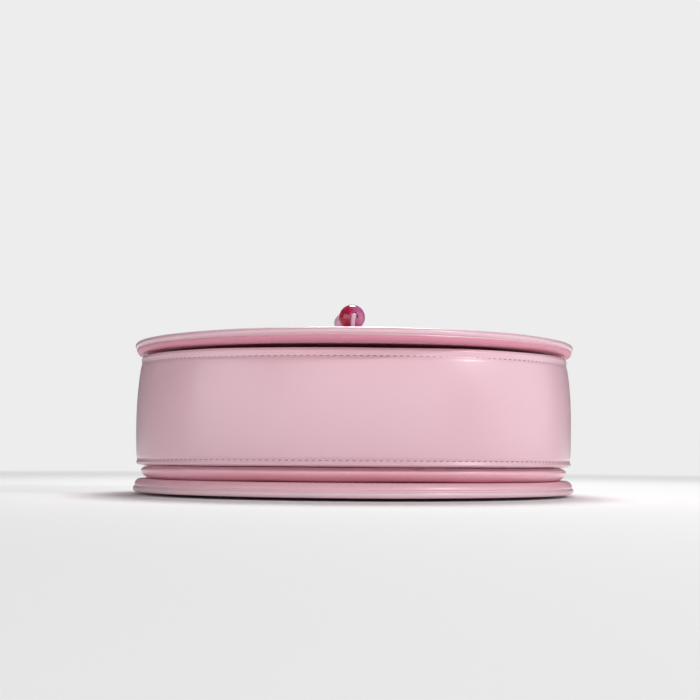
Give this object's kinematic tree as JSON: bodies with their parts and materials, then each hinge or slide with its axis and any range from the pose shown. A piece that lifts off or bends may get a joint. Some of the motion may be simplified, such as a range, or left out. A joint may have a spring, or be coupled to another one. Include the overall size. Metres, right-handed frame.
{
  "type": "crossbody purse",
  "caption": "Half-moon crossbody purse with a stiffened flap, stitched gusset, padded back, hidden magnets, bead pull, side rings and a folded shoulder strap.",
  "frame": {"origin": "middle of the bag's box on the surface it lies on, under the back plate", "axes": "bag lying on its back: +X across its width, +Y from its bottom to its mouth and spine, +Z out through the flap"},
  "size_m": [0.23, 0.16, 0.0887],
  "materials": {
    "pink_leather": "smooth satin",
    "lining_cloth": "matt twill",
    "board": "matt board",
    "foam": "open foam",
    "nickel": "polished nickel",
    "magnet": "dull",
    "zip_nylon": "satin",
    "cord": "waxed",
    "elastic": "ribbed",
    "magenta_resin": "polished",
    "lilac_resin": "polished"
  },
  "bodies": {
    "bag": {"back_skin": "pink_leather", "back_board": "board", "back_plate_foam": "foam", "back_cover": "pink_leather", "back_panel": "pink_leather", "back_foam": "foam", "gusset": "pink_leather", "front_panel": "pink_leather", "mouth_binding": "pink_leather", "lining": "lining_cloth", "slip_pocket": "lining_cloth", "panel_magnet": "magnet", "panel_keeper": "nickel", "zip_pocket_bag": "lining_cloth", "zip_tapes": "lining_cloth", "zip_coil": "zip_nylon", "zip_stops": "nickel", "tab_left": "pink_leather", "tab_right": "pink_leather", "tab_rivets": "nickel", "strap_band": "pink_leather", "strap_tie": "elastic", "strap_rivets": "nickel", "hook_eye_a": "nickel", "hook_eye_b": "nickel"},
    "spine": {"spine_skin": "pink_leather", "spine_board": "board", "spine_lining": "lining_cloth"},
    "flap": {"flap_skin": "pink_leather", "flap_board": "board", "flap_foam": "foam", "flap_lining": "pink_leather", "flap_magnet": "magnet", "flap_keeper": "nickel", "eyelet_front": "nickel", "eyelet_rear": "nickel", "pull_cord": "cord", "pull_knots": "cord"},
    "large_bead": {"bead_large": "magenta_resin"},
    "small_bead": {"bead_small": "lilac_resin"},
    "left_ring": {"ring_left": "nickel"},
    "right_ring": {"ring_right": "nickel"},
    "slider": {"zip_slider": "nickel"},
    "puller": {"zip_puller": "nickel"},
    "adjuster": {"strap_adjuster": "nickel"},
    "swivel_a": {"hook_a": "nickel"},
    "latch_a": {"bolt_a": "nickel"},
    "swivel_b": {"hook_b": "nickel"},
    "latch_b": {"bolt_b": "nickel"}
  },
  "joints": [
    {"name": "spine_fold", "type": "hinge", "parent": "bag", "child": "spine", "pos_m": [0, 0.0753, 0.0064], "axis": [-1, 0, 0], "range_deg": [0, 90]},
    {"name": "flap_fold", "type": "hinge", "parent": "spine", "child": "flap", "pos_m": [0, 0.0753, 0.0702], "axis": [-1, 0, 0], "range_deg": [0, 84]},
    {"name": "left_ring_swing", "type": "hinge", "parent": "bag", "child": "left_ring", "pos_m": [-0.10973, 0.05218, 0.041], "axis": [0, 0, 1], "range_deg": [0, 120]},
    {"name": "right_ring_swing", "type": "hinge", "parent": "bag", "child": "right_ring", "pos_m": [0.10973, 0.05218, 0.041], "axis": [0, 0, -1], "range_deg": [0, 120]},
    {"name": "large_bead_spin", "type": "hinge", "parent": "flap", "child": "large_bead", "pos_m": [-0.0014, -0.056, 0.0827], "axis": [-0.2017, 0.9782, -0.0504], "continuous": true},
    {"name": "small_bead_spin", "type": "hinge", "parent": "flap", "child": "small_bead", "pos_m": [-0.0052, -0.046, 0.0811], "axis": [-0.4969, 0.8447, -0.1988], "continuous": true},
    {"name": "zip_run", "type": "slide", "parent": "bag", "child": "slider", "axis": [-1, 0, 0], "range_m": [0, 0.115]},
    {"name": "puller_lift", "type": "hinge", "parent": "slider", "child": "puller", "pos_m": [0.056, 0.052, 0.0204], "axis": [0, -1, 0], "range_deg": [0, 150]},
    {"name": "adjuster_run", "type": "slide", "parent": "bag", "child": "adjuster", "axis": [1, 0, 0], "range_m": [-0.04, 0.035]},
    {"name": "hook_a_swivel", "type": "hinge", "parent": "bag", "child": "swivel_a", "pos_m": [-0.024, -0.038, 0.0225], "axis": [-1, 0, 0], "continuous": true},
    {"name": "bolt_a_slide", "type": "slide", "parent": "swivel_a", "child": "latch_a", "axis": [1, 0, 0], "range_m": [0, 0.0036], "stiffness_N_per_m": 300, "springref_m": -0.002},
    {"name": "hook_b_swivel", "type": "hinge", "parent": "bag", "child": "swivel_b", "pos_m": [0.038, 0.028, 0.0225], "axis": [1, 0, 0], "continuous": true},
    {"name": "bolt_b_slide", "type": "slide", "parent": "swivel_b", "child": "latch_b", "axis": [-1, 0, 0], "range_m": [0, 0.0036], "stiffness_N_per_m": 300, "springref_m": -0.002}
  ]
}
